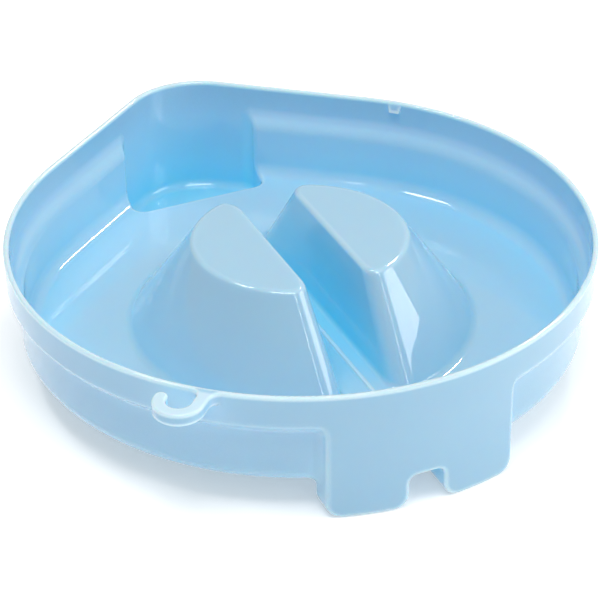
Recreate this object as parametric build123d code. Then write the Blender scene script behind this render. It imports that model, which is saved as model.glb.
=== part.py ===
"""One-piece moulded dish: a teardrop tray with a stepped wall, a split hollow grip and three hollow feet.

The moulding is written region by region. Each region is a closed solid that meets its neighbours
face to face and overlaps none of them. Plan distances are taken from the centre of the round part
of the rim, heights from the soles of the feet. +Y points to the single corner, +Z up.
"""

from build123d import *
import math
import os

# ---------------------------------------------------------------- driving dimensions, mm
RIM_R = 150.0  # outer radius of the round part of the rim
CORNER_R = 42.5  # outer radius of the single corner
CORNER_OUT = 136.5  # centre of the round part to centre of the corner
HEIGHT = 69.0  # soles to rim

WALL = 3.0  # wall of the moulding
FLOOR_T = 2.5  # plate under the dish
RIM_ROUND = 1.1  # rounding of the two edges of the rim

BAND_H = 15.5  # upright band below the rim
STEP = 6.0  # the wall steps in and down by this much below the band
DEPTH = 51.0  # rim to the dish floor
TURN_IN = 8.0  # the wall turns in to the floor over this width
TURN_UP = 6.5  # and over this height

GRIP_BASE_R = 88.6  # foot of the split centre grip
GRIP_TOP_R = 51.5  # arc of each flat D-shaped top
GRIP_TOP_OUT = 3.8  # centre of that arc, out from the middle
GRIP_TOP_Y = 1.0  # and forward
GRIP_DROP = 3.6  # tops below the rim
SLOT_TOP = 31.6  # gap between the two halves at the top
SLOT_BASE = 24.6  # gap at the floor
GRIP_CORNER = 8.2  # rounding of each half in plan, at the top
GRIP_CORNER_BASE = 10.2  # and at the floor
GRIP_WALL = 3.2  # wall measured level, the cone leans
RIB_W, RIB_H, RIB_X = 2.2, 1.0, 3.4  # low rib along the slot floor

POCKET_HALF = 38.5  # half width of the corner well
POCKET_LIP = 134.5  # where the floor drops into it
POCKET_CORNER = 7.0  # rounding of the well in plan

FEET_X = -2.5  # middle of the two front feet
FEET_HALF = 48.5  # from there to the outer side of each
NOTCH_HALF = 9.2  # and to the side that faces the notch
FEET_IN = -123.0  # back face of the front feet
FEET_CORNER = 5.0  # rounding of the front wells in plan
NOTCH_H = 23.0  # roof of the notch above the soles

HOOK_TURN = -45.0  # place of the hook round the rim, from the front
HOOK_OUT = 160.3  # middle of the hook's eye
HOOK_SIDE = 1.0  # eye, along the rim from that place
HOOK_EYE_R = 6.0  # radius inside the hook
HOOK_ARM = 6.5  # width of its arm
HOOK_H = 6.5  # thickness, flush with the rim
HOOK_TIP = 1.0  # straight end of the tip before its round
HOOK_BLEND_IN, HOOK_BLEND_OUT = 4.0, 6.0  # fillets where it leaves the rim
HOOK_BLUNT = 0.3  # the fillets end this thick instead of running out to nothing

TAB_TURNS = {"snap_tab_front": 45.0, "snap_tab_back": 135.0}  # places round the rim, from the front
TAB_W, TAB_H, TAB_OUT, TAB_DROP = 7.0, 5.0, 2.0, 1.2  # width, height, how far it stands in, top gap

# ---------------------------------------------------------------- heights that follow
BAND_Z = HEIGHT - BAND_H
STEP_Z = BAND_Z - STEP
FLOOR_Z = HEIGHT - DEPTH
TURN_Z = FLOOR_Z + TURN_UP
UNDER_Z = FLOOR_Z - FLOOR_T
GRIP_Z = HEIGHT - GRIP_DROP
BRIDGE_Z = NOTCH_H + WALL
INNER = STEP + WALL  # inset of the inner face of the lower wall
ROUND_Y = (RIM_R - CORNER_R - CORNER_OUT) / 2  # puts the middle of the length at y = 0
FAR = 2 * RIM_R  # well outside the dish


# ---------------------------------------------------------------- plan of the dish
def outline(inset, z):
    """The teardrop drawn in by inset: a big arc and a small one joined by their two tangents."""
    turn = math.acos((RIM_R - CORNER_R) / CORNER_OUT)
    big, small = RIM_R - inset, CORNER_R - inset
    near = (big * math.sin(turn), big * math.cos(turn))
    far = (small * math.sin(turn), CORNER_OUT + small * math.cos(turn))
    edges = [
        ThreePointArc((-near[0], near[1]), (0, -big), near),
        Line(near, far),
        ThreePointArc(far, (0, CORNER_OUT + small), (-far[0], far[1])),
        Line((-far[0], far[1]), (-near[0], near[1])),
    ]
    return Pos(0, 0, z) * make_face(edges)


def slab(inset, low, high):
    """Upright body of the dish plan."""
    return extrude(outline(inset, low), amount=high - low)


def taper(low_inset, low, high_inset, high):
    """Body of the dish plan that widens from low to high."""
    return loft([outline(low_inset, low), outline(high_inset, high)], ruled=True)


def well(x0, x1, y0, y1, radius, low, high):
    """Upright block with the two corners nearer the middle of the dish rounded in plan."""
    face = Pos((x0 + x1) / 2, (y0 + y1) / 2, low) * Rectangle(x1 - x0, y1 - y0)
    inner = face.vertices().sort_by(lambda v: abs(v.Y))[:2]
    return extrude(fillet(inner, radius), amount=high - low)


def only(shape):
    """The one solid of a region, checked."""
    solids = shape.solids()
    assert len(solids) == 1, f"{len(solids)} solids"
    return solids[0]


# ---------------------------------------------------------------- the air inside the dish
basin = (
    slab(WALL, BAND_Z, HEIGHT + 1)
    + taper(INNER, STEP_Z, WALL, BAND_Z)
    + slab(INNER, TURN_Z, STEP_Z)
    + taper(INNER + TURN_IN, FLOOR_Z, INNER, TURN_Z)
)


# ---------------------------------------------------------------- corner foot
corner_block = slab(0, 0, BAND_Z) & well(
    -POCKET_HALF - WALL,
    POCKET_HALF + WALL,
    POCKET_LIP - WALL,
    FAR,
    POCKET_CORNER + WALL,
    0,
    BAND_Z,
)
corner_air = slab(WALL, WALL, BAND_Z) & well(
    -POCKET_HALF, POCKET_HALF, POCKET_LIP, FAR, POCKET_CORNER, WALL, BAND_Z
)
corner_foot = corner_block - corner_air - basin


# ---------------------------------------------------------------- front feet and the bridge between
def front_foot(x0, x1):
    """Outer block and the well inside it for one front foot."""
    block = slab(0, 0, BAND_Z) & well(x0, x1, -FAR, FEET_IN, FEET_CORNER + WALL, 0, BAND_Z)
    air = slab(WALL, WALL, BAND_Z) & well(
        x0 + WALL, x1 - WALL, -FAR, FEET_IN - WALL, FEET_CORNER, WALL, BAND_Z
    )
    return block, air


bridge_span = Pos(FEET_X, (FEET_IN - FAR) / 2) * Rectangle(2 * (NOTCH_HALF + WALL), FAR + FEET_IN)
bridge_air = slab(WALL, BRIDGE_Z, BAND_Z) & extrude(bridge_span, amount=BAND_Z)
left_block, left_air = front_foot(FEET_X - FEET_HALF, FEET_X - NOTCH_HALF)
right_block, right_air = front_foot(FEET_X + NOTCH_HALF, FEET_X + FEET_HALF)
front_foot_left = left_block - left_air - basin - bridge_air
front_foot_right = right_block - right_air - basin - bridge_air

notch_width = 2 * (NOTCH_HALF + WALL + FEET_CORNER)
notch_span = Pos(FEET_X, (FEET_IN - FAR) / 2) * Rectangle(notch_width, FAR + FEET_IN)
turn_outer = taper(STEP + TURN_IN, UNDER_Z, STEP, TURN_Z)
foot_bridge = (
    (slab(0, NOTCH_H, BAND_Z) & extrude(notch_span, amount=BAND_Z))
    - slab(WALL, BRIDGE_Z, BAND_Z)
    - basin
    - turn_outer
    - left_block
    - right_block
)


# ---------------------------------------------------------------- rim band, step and lower wall
rim_band = slab(0, BAND_Z, HEIGHT) - slab(WALL, BAND_Z, HEIGHT)
rim_band = fillet(rim_band.faces().sort_by(Axis.Z)[-1].edges(), RIM_ROUND)

feet_blocks = corner_block + left_block + right_block + foot_bridge + extrude(notch_span, amount=BAND_Z)
step_ring = taper(STEP, STEP_Z, 0, BAND_Z) - taper(INNER, STEP_Z, WALL, BAND_Z) - feet_blocks
wall_ring = slab(STEP, TURN_Z, STEP_Z) - slab(INNER, TURN_Z, STEP_Z) - feet_blocks


# ---------------------------------------------------------------- split grip
def grip_plan(z, shell, sign):
    """D shape of one half of the grip at height z, drawn in by shell."""
    up = (z - FLOOR_Z) / (GRIP_Z - FLOOR_Z)
    radius = GRIP_BASE_R + (GRIP_TOP_R - GRIP_BASE_R) * up - shell
    middle = (sign * GRIP_TOP_OUT * up, GRIP_TOP_Y * up)
    flat = (SLOT_BASE + (SLOT_TOP - SLOT_BASE) * up) / 2 + shell
    corner = GRIP_CORNER_BASE + (GRIP_CORNER - GRIP_CORNER_BASE) * up - shell / 2
    half = math.sqrt(radius**2 - (flat - abs(middle[0])) ** 2)
    ends = [(sign * flat, middle[1] - half), (sign * flat, middle[1] + half)]
    face = make_face(
        [ThreePointArc(ends[0], (middle[0] + sign * radius, middle[1]), ends[1]), Line(ends[1], ends[0])]
    )
    return Pos(0, 0, z) * fillet(face.vertices(), corner)


def grip_half(sign):
    """Outer body and the finger recess below it."""
    body = loft([grip_plan(UNDER_Z, 0, sign), grip_plan(GRIP_Z, 0, sign)], ruled=True)
    recess = loft([grip_plan(UNDER_Z, GRIP_WALL, sign), grip_plan(GRIP_Z - WALL, GRIP_WALL, sign)], ruled=True)
    return body, recess


left_grip_body, left_recess = grip_half(-1)
right_grip_body, right_recess = grip_half(1)
grip_left = left_grip_body - left_recess
grip_right = right_grip_body - right_recess


# ---------------------------------------------------------------- floor
grips_and_wells = [corner_block, left_block, right_block, left_grip_body, right_grip_body]
floor_pan = (turn_outer & slab(0, UNDER_Z, FLOOR_Z)) - grips_and_wells
turn_inner = taper(INNER + TURN_IN, FLOOR_Z, INNER, TURN_Z)
turn_ring = (turn_outer & slab(0, FLOOR_Z, TURN_Z)) - turn_inner - grips_and_wells
turn_left, turn_notch, turn_right = turn_ring.solids().sort_by(Axis.X)
foot_bridge = foot_bridge + turn_notch
rib_length = 2 * GRIP_BASE_R
slot_rib = Pos(RIB_X, 0, FLOOR_Z + RIB_H / 2) * Box(RIB_W, rib_length, RIB_H)


# ---------------------------------------------------------------- hook and snap tabs on the rim
def blend_arc(side_x, radius, outer):
    """Fillet between an upright side of the hook's root and the round rim: rim end, middle, side end."""
    away = radius if outer else -radius
    reach = RIM_R + HOOK_BLUNT + radius
    centre = Vector(side_x + away, -math.sqrt(reach**2 - (side_x + away) ** 2))
    to_rim = -centre.normalized()
    to_side = Vector(-1, 0) if outer else Vector(1, 0)
    middle = (to_rim + to_side).normalized()
    return [centre + way * radius for way in (to_rim, middle, to_side)]


eye_in, eye_out = HOOK_SIDE - HOOK_EYE_R, HOOK_SIDE + HOOK_EYE_R
bow_in, bow_out = eye_in - HOOK_ARM, eye_out + HOOK_ARM
inner_rim, inner_mid, inner_side = blend_arc(eye_out, HOOK_BLEND_IN, outer=False)
outer_rim, outer_mid, outer_side = blend_arc(bow_out, HOOK_BLEND_OUT, outer=True)
tip_y = -HOOK_OUT + HOOK_TIP
inner_foot, outer_foot = inner_rim.normalized() * RIM_R, outer_rim.normalized() * RIM_R
foot_between = (inner_foot + outer_foot).normalized() * RIM_R
hook_plan = make_face(
    [
        ThreePointArc(inner_rim, inner_mid, inner_side),
        Line(inner_side, (eye_out, -HOOK_OUT)),
        ThreePointArc((eye_out, -HOOK_OUT), (HOOK_SIDE, -HOOK_OUT - HOOK_EYE_R), (eye_in, -HOOK_OUT)),
        Line((eye_in, -HOOK_OUT), (eye_in, tip_y)),
        ThreePointArc((eye_in, tip_y), ((eye_in + bow_in) / 2, tip_y + HOOK_ARM / 2), (bow_in, tip_y)),
        Line((bow_in, tip_y), (bow_in, -HOOK_OUT)),
        ThreePointArc(
            (bow_in, -HOOK_OUT), (HOOK_SIDE, -HOOK_OUT - HOOK_EYE_R - HOOK_ARM), (bow_out, -HOOK_OUT)
        ),
        Line((bow_out, -HOOK_OUT), outer_side),
        ThreePointArc(outer_side, outer_mid, outer_rim),
        Line(outer_rim, outer_foot),
        ThreePointArc(outer_foot, foot_between, inner_foot),
        Line(inner_foot, inner_rim),
    ]
)
hook_flat = extrude(Pos(0, 0, HEIGHT - HOOK_H) * hook_plan, amount=HOOK_H)
rim_hook = Rot(0, 0, HOOK_TURN) * hook_flat


def snap_tab(turn):
    """Wedge that stands in from the band: thin at the top, thickest at its square lower edge."""
    face_y = -(RIM_R - WALL)
    side = Polyline(
        (0, face_y - WALL, HEIGHT - TAB_DROP),
        (0, face_y + TAB_OUT / 3, HEIGHT - TAB_DROP),
        (0, face_y + TAB_OUT, HEIGHT - TAB_DROP - TAB_H),
        (0, face_y - WALL, HEIGHT - TAB_DROP - TAB_H),
        close=True,
    )
    wedge = extrude(make_face(side), amount=TAB_W / 2, dir=(1, 0, 0), both=True)
    return Rot(0, 0, turn) * wedge & slab(WALL, BAND_Z, HEIGHT)


# ---------------------------------------------------------------- write every region
steps = step_ring.solids().sort_by(Axis.X)
walls = wall_ring.solids().sort_by(Axis.X)
nodes = {
    "rim_band": only(rim_band),
    "step_left": steps[0],
    "step_right": steps[-1],
    "wall_left": walls[0],
    "wall_right": walls[-1],
    "turn_left": turn_left,
    "turn_right": turn_right,
    "floor_pan": only(floor_pan),
    "grip_left": only(grip_left),
    "grip_right": only(grip_right),
    "slot_rib": only(slot_rib),
    "corner_foot": only(corner_foot),
    "front_foot_left": only(front_foot_left),
    "front_foot_right": only(front_foot_right),
    "foot_bridge": only(foot_bridge),
    "rim_hook": only(rim_hook),
}
for name, turn in TAB_TURNS.items():
    nodes[name] = only(snap_tab(turn))

os.makedirs("parts", exist_ok=True)
for name, solid in nodes.items():
    export_step(Pos(0, ROUND_Y, 0) * solid, f"parts/{name}.step")
    print(name, round(solid.volume))
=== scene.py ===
import math

import bpy
import numpy as np
from mathutils import Matrix, Vector


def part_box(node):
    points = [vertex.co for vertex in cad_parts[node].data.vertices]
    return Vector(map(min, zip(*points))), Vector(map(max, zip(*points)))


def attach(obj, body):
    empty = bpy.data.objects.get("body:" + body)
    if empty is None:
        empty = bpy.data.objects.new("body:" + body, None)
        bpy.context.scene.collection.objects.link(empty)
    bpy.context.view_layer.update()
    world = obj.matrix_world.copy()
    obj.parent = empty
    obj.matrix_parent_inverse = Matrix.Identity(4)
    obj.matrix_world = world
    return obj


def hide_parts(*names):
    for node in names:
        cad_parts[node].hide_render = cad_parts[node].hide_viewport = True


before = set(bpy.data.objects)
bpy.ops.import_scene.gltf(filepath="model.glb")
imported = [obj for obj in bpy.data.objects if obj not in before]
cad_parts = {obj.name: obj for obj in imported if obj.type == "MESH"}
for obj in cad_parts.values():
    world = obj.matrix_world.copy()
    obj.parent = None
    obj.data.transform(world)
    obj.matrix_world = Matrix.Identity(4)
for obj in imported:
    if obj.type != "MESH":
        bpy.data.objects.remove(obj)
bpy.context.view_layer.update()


# ------------------------------------------------------------------ plan of the lid
# The lid is round with one corner drawn out to a point and rounded off: two circles and the two
# straight sides that touch both. Every wall follows this outline, further in or out.

MM = 0.001
rim_low, rim_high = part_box("rim_band")
RIM_R = rim_high[0]
RIM_Z = rim_high[2]
BAND_Z = rim_low[2]
ROUND_Y = rim_low[1] + RIM_R
CORNER_R = 42.5 * MM
CORNER_OUT = rim_high[1] - CORNER_R - ROUND_Y
WALL = 3 * MM
LEAST_ROUND = 1.0 * MM


def inset(x, y):
    """How far in from the outer face of the rim a point lies."""
    lean = (RIM_R - CORNER_R) / CORNER_OUT
    rise = math.sqrt(1 - lean**2)
    side = np.abs(x)
    ahead = y - ROUND_Y
    along = rise * ahead - lean * side
    round_part = RIM_R - np.hypot(side, ahead)
    straight = RIM_R - rise * side - lean * ahead
    corner = CORNER_R - np.hypot(side, ahead - CORNER_OUT)
    return np.where(along < 0, round_part, np.where(along > rise * CORNER_OUT, corner, straight))


def both(a, b, radius):
    """Space that lies inside a and inside b, its corner rounded."""
    bend = np.hypot(np.maximum(radius + a, 0), np.maximum(radius + b, 0))
    return np.minimum(-radius, np.maximum(a, b)) + bend


def either(a, b, radius):
    """Space that lies inside a or inside b, the corner between them filled."""
    return -both(-a, -b, radius)


def filled(radius, grow):
    """A filled corner gets tighter on the outer skin, but never sharp."""
    return np.maximum(radius - grow, LEAST_ROUND)


# ------------------------------------------------------------------ rim band, step, wall and floor
# An upright band runs round the top. Below it the wall steps in at 45 degrees, drops straight and
# turns in to a flat floor. Each function gives the air inside, grown by grow: 0 is the inner skin
# of the moulding and the wall's thickness the outer one.

STEP = RIM_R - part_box("wall_right")[1][0]
FLOOR_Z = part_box("floor_pan")[1][2]
STEP_ROUND = 2.5 * MM
TURN_ROUND = 7.0 * MM


def basin_air(inward, z, grow):
    """The dish itself, with its step and its rounded floor edge."""
    band_face = WALL - inward - grow
    wall_face = WALL + STEP - inward - grow
    step_face = (WALL + BAND_Z - inward - z) / math.sqrt(2) - grow
    floor_face = FLOOR_Z - z - grow
    below = either(wall_face, step_face, filled(STEP_ROUND, grow))
    upper = both(band_face, below, filled(STEP_ROUND, grow))
    return both(upper, floor_face, TURN_ROUND + grow)


# ------------------------------------------------------------------ corner foot
# Under the single corner the floor drops into a deep well, whose outside is the foot. Its back
# wall is the band carried straight down, so the step stops at its two sides.

corner_low, corner_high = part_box("corner_foot")
CORNER_HALF = corner_high[0] - WALL
CORNER_LIP = corner_low[1] + WALL
LIP_ROUND = 1.8 * MM
CORNER_BEND = 7 * MM
CORNER_BACK = 4 * MM
CORNER_SOLE = 5 * MM


def corner_air(x, y, z, inward, grow):
    """The deep well under the corner."""
    side_face = np.abs(x) - CORNER_HALF - grow
    lip_face = CORNER_LIP - y - grow
    back_face = WALL - inward - grow
    sole_face = WALL - z - grow
    plan = both(both(side_face, lip_face, CORNER_BEND + grow), back_face, CORNER_BACK + grow)
    return both(plan, sole_face, CORNER_SOLE + grow)


# ------------------------------------------------------------------ front feet
# Two hollow feet stand side by side at the front, flush with the band. The arched notch between
# them stops short of the band, and the air of the two wells joins above it.

left_low, left_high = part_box("front_foot_left")
right_low, right_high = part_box("front_foot_right")
FEET_X = (left_low[0] + right_high[0]) / 2
FEET_HALF = (right_high[0] - left_low[0]) / 2 - WALL
NOTCH_HALF = (right_low[0] - left_high[0]) / 2 + WALL
FEET_IN = left_high[1] - WALL
BRIDGE_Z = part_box("foot_bridge")[0][2] + WALL
NOTCH_ROUND = 7.5 * MM
FEET_LIP_ROUND = 8.0 * MM
FEET_CORNER = 5.0 * MM
FEET_EDGE = 0.8 * MM
FEET_FLARE = 4.0 * MM
FEET_LIP_TOP = 1.5 * MM
FEET_BACK = 5 * MM
ARCH_EDGE = 2 * MM


def feet_air(x, y, z, inward, grow):
    """Both front wells, joined over the arch between them."""
    across = np.abs(x - FEET_X)
    side_face = across - FEET_HALF - grow
    notch_face = NOTCH_HALF - across - grow
    inner_face = y - FEET_IN - grow
    band_face = WALL - inward - grow
    sole_face = WALL - z - grow
    bridge_face = BRIDGE_Z - z - grow
    arch = either(notch_face, bridge_face, filled(NOTCH_ROUND, grow))
    front = both(both(side_face, arch, ARCH_EDGE + grow), sole_face, FEET_CORNER + grow)
    block = both(front, inner_face, FEET_BACK + grow)
    return both(block, band_face, FEET_EDGE + grow / 4)


# ------------------------------------------------------------------ split grip
# Two hollow half cones with flat D-shaped tops stand in the middle, a gap for the fingers between
# them. Turned over, the gap is the bar of the handle and the two hollows take the hand.

GRIP_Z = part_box("grip_right")[1][2]
GRIP_BASE_R = 88.6 * MM
GRIP_TOP_R = 51.5 * MM
GRIP_TOP_OUT = 3.8 * MM
GRIP_TOP_BACK = 1.0 * MM
SLOT_BASE = 12.3 * MM
SLOT_TOP = 15.8 * MM
GRIP_EDGE = 1.3 * MM
SLOT_EDGE = 2.2 * MM
GRIP_FOOT = 2.2 * MM
GRIP_CORNER = 12.5
CORNER_TAPER = 2.5
EDGE_CHANGE = 6 * MM
LEAST_EDGE = 0.8 * MM


def grip_body(x, y, z, grow):
    """One half of the grip, its skin drawn in by grow."""
    tall = GRIP_Z - FLOOR_Z
    up = (z - FLOOR_Z) / tall
    side = np.abs(x)
    dx = side - GRIP_TOP_OUT * up
    dy = y - ROUND_Y - GRIP_TOP_BACK * up
    out = np.hypot(dx, dy) + 1e-9
    closing = (GRIP_BASE_R - GRIP_TOP_R - (GRIP_TOP_OUT * dx + GRIP_TOP_BACK * dy) / out) / tall
    radius = GRIP_BASE_R + (GRIP_TOP_R - GRIP_BASE_R) * up
    cone_face = (out - radius) / np.sqrt(1 + closing**2) + grow
    draft = (SLOT_TOP - SLOT_BASE) / tall
    slot_face = (SLOT_BASE + draft * (z - FLOOR_Z) - side) / math.sqrt(1 + draft**2) + grow
    corner = np.maximum((GRIP_CORNER - CORNER_TAPER * up) * MM - grow, LEAST_ROUND)
    plan = both(cone_face, slot_face, corner)
    by_slot = np.clip((slot_face - cone_face) / EDGE_CHANGE + 0.5, 0, 1)
    edge = GRIP_EDGE + (SLOT_EDGE - GRIP_EDGE) * by_slot
    return both(plan, z - GRIP_Z + grow, np.maximum(edge - grow, LEAST_EDGE))


# ------------------------------------------------------------------ hook and snap tabs
# An open hook grows out of the rim at the front left, flush with its top. Two small wedges stand
# in from the band on the right and snap over the edge that the lid closes.

HOOK_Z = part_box("rim_hook")[0][2]
HOOK_OUT = 160.3 * MM
HOOK_EYE = 9.25 * MM
HOOK_HALF = 3.25 * MM
HOOK_SHIFT = 1 * MM
HOOK_BLEND = 5 * MM
HOOK_REACH = 30 * MM
RIM_ROUND = 1.1 * MM


def rim_hook(x, y, z, inward):
    """A bow open on one side, its other end run into the band."""
    turned = math.sqrt(0.5)
    along = turned * (x - (y - ROUND_Y)) - HOOK_SHIFT
    toward = turned * (x + (y - ROUND_Y)) + HOOK_OUT
    bow = np.abs(np.hypot(along, toward) - HOOK_EYE) - HOOK_HALF
    tip = np.hypot(along + HOOK_EYE, np.maximum(toward - HOOK_SHIFT, 0)) - HOOK_HALF
    root = np.abs(along - HOOK_EYE) - HOOK_HALF
    plan = np.where(toward < 0, bow, np.minimum(tip, root))
    plan = both(either(plan, -inward, HOOK_BLEND), inward - WALL / 2, 0)
    plan = np.maximum(plan, np.hypot(along, toward) - HOOK_REACH)
    middle = (RIM_Z + HOOK_Z) / 2
    return both(plan, np.abs(z - middle) - (RIM_Z - HOOK_Z) / 2, RIM_ROUND)


TAB_STANDS = 2.0 * MM
TAB_TALL = 6.0 * MM
TAB_HALF_TOP = 4.0 * MM
TAB_HALF_FOOT = 3.0 * MM
TAB_EDGE = 0.3 * MM
TAB_CORNER = 0.5 * MM
TAB_TURNS = (45, 135)


def snap_tab(x, y, z, inward, turn):
    """Wedge on the band at turn degrees round from the front."""
    ahead = math.radians(turn)
    across = np.abs(x * math.cos(ahead) + (y - ROUND_Y) * math.sin(ahead))
    outward = x * math.sin(ahead) - (y - ROUND_Y) * math.cos(ahead)
    tilt = math.hypot(TAB_TALL, TAB_STANDS)
    below = RIM_Z - z
    face = ((inward - WALL) * TAB_TALL - below * TAB_STANDS) / tilt
    half = TAB_HALF_TOP + (TAB_HALF_FOOT - TAB_HALF_TOP) * below / TAB_TALL
    plan = both(across - half, WALL / 2 - inward, TAB_EDGE)
    wedge = both(both(face, below - TAB_TALL, TAB_EDGE), plan, TAB_CORNER)
    return np.maximum(wedge, -outward)


# ------------------------------------------------------------------ the moulding
# One shot of polypropylene makes the whole lid, so it is one seamless skin: the air inside, the
# same air grown by the wall, and the little features joined on. The skin is worked out on a grid,
# drawn exactly onto the surface, and thinned where it is flat.

RIB_X = 3.4 * MM
RIB_HALF = 1.0 * MM
RIB_TALL = 1.0 * MM
RIB_ROUND = 0.5 * MM
TAB_BLEND = 0.4 * MM
LIFT_FROM = 26 * MM
LIFT_OVER = 14 * MM


def lid_air(x, y, z, grow):
    """All the air above the moulding. The lips of the front wells get tighter further up."""
    inward = inset(x, y)
    air = basin_air(inward, z, grow)
    air = either(air, corner_air(x, y, z, inward, grow), filled(LIP_ROUND, grow))
    lift = np.clip((z - LIFT_FROM) / LIFT_OVER, 0, 1)
    lip_round = FEET_LIP_ROUND + (FEET_LIP_TOP - FEET_LIP_ROUND) * lift * lift * (3 - 2 * lift)
    feet_round = FEET_FLARE if grow > 0 else lip_round
    air = either(air, feet_air(x, y, z, inward, grow), feet_round)
    air = both(air, -grip_body(x, y, z, grow), GRIP_FOOT + grow)
    return np.maximum(air, WALL - inward - grow)


def moulding(x, y, z):
    """Distance to the skin of the lid, negative inside the plastic."""
    skin = np.maximum(-lid_air(x, y, z, 0.0), lid_air(x, y, z, WALL))
    inward = inset(x, y)
    rib = both(np.abs(x - RIB_X) - RIB_HALF, z - FLOOR_Z - RIB_TALL, RIB_ROUND)
    rib = both(rib, np.abs(y - ROUND_Y) - GRIP_BASE_R, RIB_ROUND)
    rib = np.maximum(rib, FLOOR_Z - WALL / 2 - z)
    skin = either(skin, rib, RIB_ROUND)
    for turn in TAB_TURNS:
        skin = either(skin, snap_tab(x, y, z, inward, turn), TAB_BLEND)
    skin = both(skin, z - RIM_Z, RIM_ROUND)
    return np.minimum(skin, rim_hook(x, y, z, inward))


def ruler(low, high, step, fine, spans):
    """Grid lines that stand closer inside the spans."""
    lines = [low]
    while lines[-1] < high:
        close = any(a <= lines[-1] <= b for a, b in spans)
        lines.append(lines[-1] + (fine if close else step))
    return np.array(lines)


def slopes(points, reach=0.01 * MM):
    """Which way the distance grows at each point."""
    out = np.empty_like(points)
    for axis in range(3):
        ahead = points.copy()
        ahead[:, axis] += reach
        behind = points.copy()
        behind[:, axis] -= reach
        out[:, axis] = (moulding(*ahead.T) - moulding(*behind.T)) / (2 * reach)
    return out


LEAST_SLOPE = 0.3
LONGEST_MOVE = 0.8 * MM


def onto_skin(points, rounds):
    """Moves points along the slope until they lie on the skin."""
    for _ in range(rounds):
        slope = slopes(points)
        steep = np.maximum((slope**2).sum(axis=1), LEAST_SLOPE)
        move = np.clip(moulding(*points.T), -LONGEST_MOVE, LONGEST_MOVE) / steep
        points = points - slope * move[:, None]
    return points


def skin_mesh(lines):
    """Corners and quads of the skin, one corner in each grid cell that it passes through."""
    shape = tuple(len(line) for line in lines)
    x, y = np.meshgrid(lines[0], lines[1], indexing="ij")
    field = np.stack([moulding(x, y, z) for z in lines[2]], axis=2)
    cells = tuple(n - 1 for n in shape)
    total = math.prod(cells)
    count = np.zeros(total)
    place = np.zeros((3, total))
    quads = []
    for axis in range(3):
        first = tuple(slice(0, n - 1) if a == axis else slice(0, n) for a, n in enumerate(shape))
        second = tuple(slice(1, n) if a == axis else slice(0, n) for a, n in enumerate(shape))
        crossing = np.nonzero((field[first] < 0) != (field[second] < 0))
        index = np.array(crossing)
        beyond = index.copy()
        beyond[axis] += 1
        here = field[tuple(index)]
        share = here / (here - field[tuple(beyond)])
        point = [lines[a][index[a]] for a in range(3)]
        point[axis] = point[axis] + share * (lines[axis][beyond[axis]] - point[axis])
        u, v = (axis + 1) % 3, (axis + 2) % 3
        ring = []
        for du, dv in ((0, 0), (-1, 0), (-1, -1), (0, -1)):
            cell = index.copy()
            cell[u] += du
            cell[v] += dv
            number = np.ravel_multi_index(tuple(cell), cells)
            ring.append(number)
            count += np.bincount(number, minlength=total)
            for a in range(3):
                place[a] += np.bincount(number, weights=point[a], minlength=total)
        ring = np.array(ring).T
        inside_first = here < 0
        quads.append(np.where(inside_first[:, None], ring, ring[:, ::-1]))
    used = np.nonzero(count)[0]
    renumber = np.full(total, -1)
    renumber[used] = np.arange(len(used))
    corners = (place[:, used] / count[used]).T
    return corners, renumber[np.concatenate(quads)]


def mesh_object(name, corners, quads):
    """An object in the scene with these corners and four-sided faces."""
    mesh = bpy.data.meshes.new(name)
    mesh.vertices.add(len(corners))
    mesh.vertices.foreach_set("co", corners.ravel())
    mesh.loops.add(quads.size)
    mesh.loops.foreach_set("vertex_index", quads.ravel().astype(np.int32))
    mesh.polygons.add(len(quads))
    mesh.polygons.foreach_set("loop_start", np.arange(0, quads.size, 4, dtype=np.int32))
    mesh.update(calc_edges=True)
    piece = bpy.data.objects.new(name, mesh)
    bpy.context.scene.collection.objects.link(piece)
    return piece


def thin_out(piece, faces):
    """Takes out faces where the skin is flat, down to this many triangles."""
    triangles = sum(len(p.vertices) - 2 for p in piece.data.polygons)
    thin = piece.modifiers.new("thin", "DECIMATE")
    thin.ratio = min(1.0, faces / triangles)
    graph = bpy.context.evaluated_depsgraph_get()
    mesh = bpy.data.meshes.new_from_object(piece.evaluated_get(graph))
    piece.modifiers.clear()
    piece.data = mesh


COARSE = 1.3 * MM
FINE = 0.7 * MM
RIM_FINE = 0.6 * MM
EDGE = 2 * MM
TRIANGLES = 195_000
hook_near = (-0.129, -0.088)
hook_near_y = (ROUND_Y - 0.129, ROUND_Y - 0.100)
tabs_near = (0.100, 0.110)
tabs_near_y = (ROUND_Y + 0.100, ROUND_Y + 0.110)
rim_near = (RIM_Z - 7 * MM, RIM_Z)
grid = (
    ruler(-RIM_R - EDGE, RIM_R + EDGE, COARSE, FINE, [hook_near, tabs_near]),
    ruler(rim_low[1] - EDGE, rim_high[1] + EDGE, COARSE, FINE, [hook_near_y, tabs_near_y]),
    ruler(-EDGE, RIM_Z + EDGE, COARSE, RIM_FINE, [rim_near]),
)
corners, quads = skin_mesh(grid)
lid = mesh_object("lid_moulding", onto_skin(corners, 3), quads)
thin_out(lid, TRIANGLES)
points = np.empty(len(lid.data.vertices) * 3)
lid.data.vertices.foreach_get("co", points)
points = onto_skin(points.reshape(-1, 3), 2)
lid.data.vertices.foreach_set("co", points.ravel())
lid.data.update()
lid.data.shade_smooth()
normals = slopes(points)
normals /= np.linalg.norm(normals, axis=1)[:, None]
lid.data.normals_split_custom_set_from_vertices(normals.tolist())


# ------------------------------------------------------------------ light blue polypropylene
# One glossy, slightly milky blue all through. Its colour is painted a deeper blue in the recesses,
# standing for light that has passed through the plastic, and paler at thin edges as a painted
# highlight; both are painted light, not the plastic's own colour. It is scuffed on the soles that it
# stands on.


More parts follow.
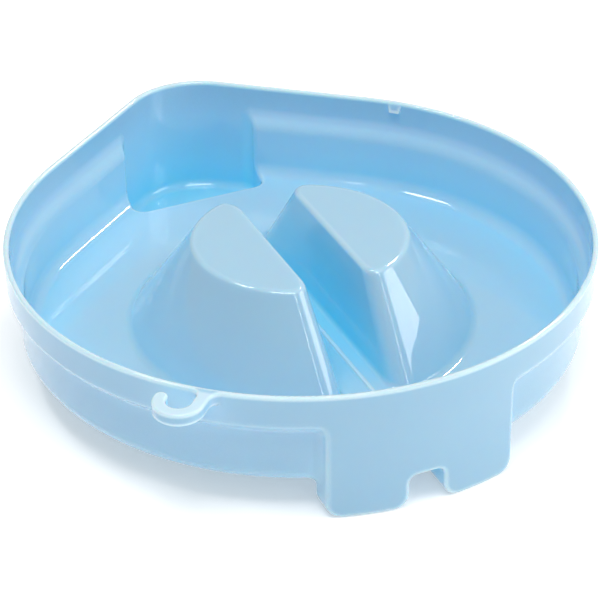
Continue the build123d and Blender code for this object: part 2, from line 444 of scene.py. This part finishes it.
class Wire:
    """An output of a shader node. Sums of wires and numbers add the Math nodes they need."""

    def __init__(self, socket):
        self.socket = socket

    def math(self, operation, first, second):
        return Wire.node(self.socket.id_data, "Math", {"operation": operation}, {0: first, 1: second})

    def __add__(self, other):
        return self.math("ADD", self, other)

    def __mul__(self, other):
        return self.math("MULTIPLY", self, other)

    __radd__ = __add__
    __rmul__ = __mul__

    @staticmethod
    def node(tree, kind, settings, sockets, output=0):
        """Any node: first its settings, ramp stops among them, then the values of its sockets."""
        made = tree.nodes.new("ShaderNode" + kind)
        for name, value in settings.items():
            if name == "stops":
                for element, (place, grey) in zip(made.color_ramp.elements, value):
                    element.position = place
                    element.color = (grey, grey, grey, 1)
            else:
                setattr(made, name, value)
        for name, value in sockets.items():
            if isinstance(value, Wire):
                tree.links.new(value.socket, made.inputs[name])
            else:
                made.inputs[name].default_value = value
        return Wire(made.outputs[output])


SKY_BLUE = (0.385, 0.595, 0.74, 1)
SIDE_BLUE = (0.31, 0.52, 0.65, 1)
PAINTED_FILL_BLUE = (0.38, 0.66, 0.86, 1)
DEEP_BLUE = (0.11, 0.70, 1.0, 1)
PALE_EDGE = (0.67, 0.79, 0.85, 1)
SCUFFED = (0.55, 0.74, 0.86, 1)
FLOW_DARK = (0.94, 0.96, 0.98, 1)
FLOW_LIGHT = (1, 1, 1, 1)
RECESS_REACH = 0.06
EDGE_DEPTH = 0.0022
SOLE_DEPTH = 0.0015
POLISH = 0.02

plastic = bpy.data.materials.new("light_blue_plastic")
plastic.use_nodes = True
tree = plastic.node_tree


def blend(factor, first, second, mode="MIX"):
    """Two colours mixed, all of the second where the factor is 1."""
    settings = {"data_type": "RGBA", "blend_type": mode}
    sockets = {"Factor": factor, "A": first, "B": second}
    return Wire.node(tree, "Mix", settings, sockets, "Result")


def scaled(value, low, high, top=1.0):
    """0 where the value is low and top where it is high, clamped between."""
    sockets = {"Value": value, "From Min": low, "From Max": high, "To Max": top}
    return Wire.node(tree, "MapRange", {}, sockets)


def noise(scale, detail, **more):
    """A pattern of lumps, finer for a larger scale."""
    return Wire.node(tree, "TexNoise", {}, {"Vector": place, "Scale": scale, "Detail": detail, **more})


place = Wire.node(tree, "TexCoord", {}, {}, "Object")
facing = Wire.node(tree, "NewGeometry", {}, {}, "Normal")
upward = Wire.node(tree, "SeparateXYZ", {}, {0: facing}, "Z")
height = Wire.node(tree, "SeparateXYZ", {}, {0: place}, "Z")

# The light that fills a recess has passed through the plastic, so it comes out a deeper blue. The
# deeper blue is painted into the colour of the surface.
open_air = Wire.node(
    tree, "AmbientOcclusion", {"samples": 8, "only_local": True}, {"Distance": RECESS_REACH}, "AO"
)
sheltered = Wire.node(tree, "ValToRGB", {"stops": ((0.08, 1.0), (0.62, 0.0))}, {"Fac": open_air})

# Upright faces in the open are painted a duller blue, because the bright table would otherwise
# wash them out. This belongs to the light here rather than to the plastic.
open_side = scaled(open_air, 0.85, 0.97)
upright = scaled(upward, 0.4, 0.1)
outside = blend(open_side * upright, SKY_BLUE, SIDE_BLUE)
# Partly enclosed faces are painted a fuller blue. This is painted light, standing for light that
# reaches them through the plastic.
enclosed = scaled(open_air, 0.92, 0.6)
painted_fill_tint = blend(enclosed, outside, PAINTED_FILL_BLUE)
tint = blend(sheltered, painted_fill_tint, DEEP_BLUE)

# Colour swims a little where the melt flowed.
flow = noise(14.0, 3.0, Distortion=1.2)
streak = blend(flow, FLOW_DARK, FLOW_LIGHT)
flow_tint = blend(1.0, tint, streak, "MULTIPLY")

# Convex edges and the top of the hook are painted paler, as light leaves them from every side.
around = Wire.node(
    tree,
    "AmbientOcclusion",
    {"samples": 8, "only_local": True, "inside": True},
    {"Distance": EDGE_DEPTH},
    "AO",
)
edge = Wire.node(tree, "ValToRGB", {"stops": ((0.82, 0.9), (0.985, 0.0))}, {"Fac": around})
level = Wire.node(tree, "VectorMath", {"operation": "MULTIPLY"}, {0: place, 1: (1, 1, 0)})
centre = (0, ROUND_Y, 0)
reach = Wire.node(tree, "VectorMath", {"operation": "DISTANCE"}, {0: level, 1: centre}, "Value")
beyond = scaled(reach, RIM_R + 0.2 * MM, RIM_R + 2 * MM, 0.7)
ahead = Wire.node(tree, "SeparateXYZ", {}, {0: place}, "Y")
in_front = scaled(ahead, -0.05, -0.06)
topmost = scaled(upward, 0.2, 0.8)
pale = edge.math("MAXIMUM", edge, beyond * in_front * topmost)
edged = blend(pale, flow_tint, PALE_EDGE)

# The soles are scuffed pale.
grit = noise(260.0, 6.0, Roughness=0.7)
sole = scaled(height, SOLE_DEPTH, 0.0)
scuff = scaled(grit, 0.52, 0.66, 0.7)
colour = blend(sole * scuff, edged, SCUFFED)

# The inside is polished, the underside comes from a plainer mould half, and handling leaves faint
# smears.
smear = noise(22.0, 5.0, Roughness=0.6)
under = scaled(upward, -0.3, -0.8, 0.16)
rough = POLISH + smear * 0.07 + under + sole * scuff * 0.3

ripple = noise(30.0, 1.0)
grain = noise(900.0, 2.0)
relief = Wire.node(
    tree, "Bump", {}, {"Strength": 0.35, "Distance": 0.00018, "Height": ripple + grain * 0.02}
)

bsdf = tree.nodes["Principled BSDF"]
tree.links.new(colour.socket, bsdf.inputs["Base Color"])
tree.links.new(rough.socket, bsdf.inputs["Roughness"])
tree.links.new(relief.socket, bsdf.inputs["Normal"])
bsdf.inputs["Subsurface Weight"].default_value = 0.7
bsdf.inputs["Subsurface Radius"].default_value = (0.25, 0.7, 1.0)
bsdf.inputs["Subsurface Scale"].default_value = 0.009
bsdf.inputs["IOR"].default_value = 1.5
bsdf.inputs["Coat Weight"].default_value = 0.6
bsdf.inputs["Coat Roughness"].default_value = 0.02
lid.data.materials.append(plastic)

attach(lid, "root")
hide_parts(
    "rim_band",
    "step_left",
    "step_right",
    "wall_left",
    "wall_right",
    "turn_left",
    "turn_right",
    "floor_pan",
    "grip_left",
    "grip_right",
    "slot_rib",
    "corner_foot",
    "front_foot_left",
    "front_foot_right",
    "foot_bridge",
    "rim_hook",
    "snap_tab_front",
    "snap_tab_back",
)


# ------------------------------------------------------------------ floor, light and camera
# A white table that runs out of sight, large soft lamps overhead and to the right, small ones that
# draw thin highlights along the fillets, and a long lens from the front left.

bpy.ops.mesh.primitive_plane_add(size=12, location=(0, 0, -0.0002))
table = bpy.context.active_object
table.name = "table"
white = bpy.data.materials.new("white_table")
white.use_nodes = True
paint = white.node_tree.nodes["Principled BSDF"]
paint.inputs["Base Color"].default_value = (0.92, 0.92, 0.92, 1)
paint.inputs["Roughness"].default_value = 0.9
paint.inputs["Emission Color"].default_value = (1, 1, 1, 1)
paint.inputs["Emission Strength"].default_value = 0.28
table.data.materials.append(white)


def soft_lamp(name, place, width, depth, power):
    """A rectangular lamp pointing at the lid."""
    data = bpy.data.lights.new(name, "AREA")
    data.shape = "RECTANGLE"
    data.size = width
    data.size_y = depth
    data.energy = power
    lamp = bpy.data.objects.new(name, data)
    lamp.location = place
    lamp.rotation_euler = (-Vector(place)).to_track_quat("-Z", "Y").to_euler()
    bpy.context.scene.collection.objects.link(lamp)


soft_lamp("overhead", (-0.2, -0.45, 1.45), 0.8, 0.6, 9)
soft_lamp("back_left", (-0.45, 0.40, 1.35), 0.25, 0.25, 3)
soft_lamp("back_right", (0.85, 0.75, 1.07), 0.16, 0.16, 2.6)
soft_lamp("right", (1.5, -0.9, 0.9), 1.2, 1.0, 13)
soft_lamp("front", (-0.1, -1.35, 1.25), 0.05, 0.5, 0.9)

world = bpy.data.worlds.new("room")
world.use_nodes = True
sky = world.node_tree.nodes["Background"]
sky.inputs["Color"].default_value = (1, 1, 1, 1)
sky.inputs["Strength"].default_value = 0.46
bpy.context.scene.world = world
bpy.context.scene.view_settings.view_transform = "Standard"

AZIMUTH = math.radians(-24.04)
ELEVATION = math.radians(32.23)
ROLL = math.radians(-0.57)
DISTANCE = 8.0716 * RIM_R
aim = Vector((-0.1832 * RIM_R, ROUND_Y - 0.3989 * RIM_R, RIM_Z))
turn = (
    Matrix.Rotation(AZIMUTH, 3, "Z")
    @ Matrix.Rotation(math.pi / 2 - ELEVATION, 3, "X")
    @ Matrix.Rotation(ROLL, 3, "Z")
)
lens = bpy.data.cameras.new("long_lens")
lens.sensor_width = 36
lens.lens = 150.3
lens.clip_end = 30
camera = bpy.data.objects.new("camera", lens)
camera.matrix_world = Matrix.Translation(aim + turn @ Vector((0, 0, DISTANCE))) @ turn.to_4x4()
bpy.context.scene.collection.objects.link(camera)
bpy.context.scene.camera = camera
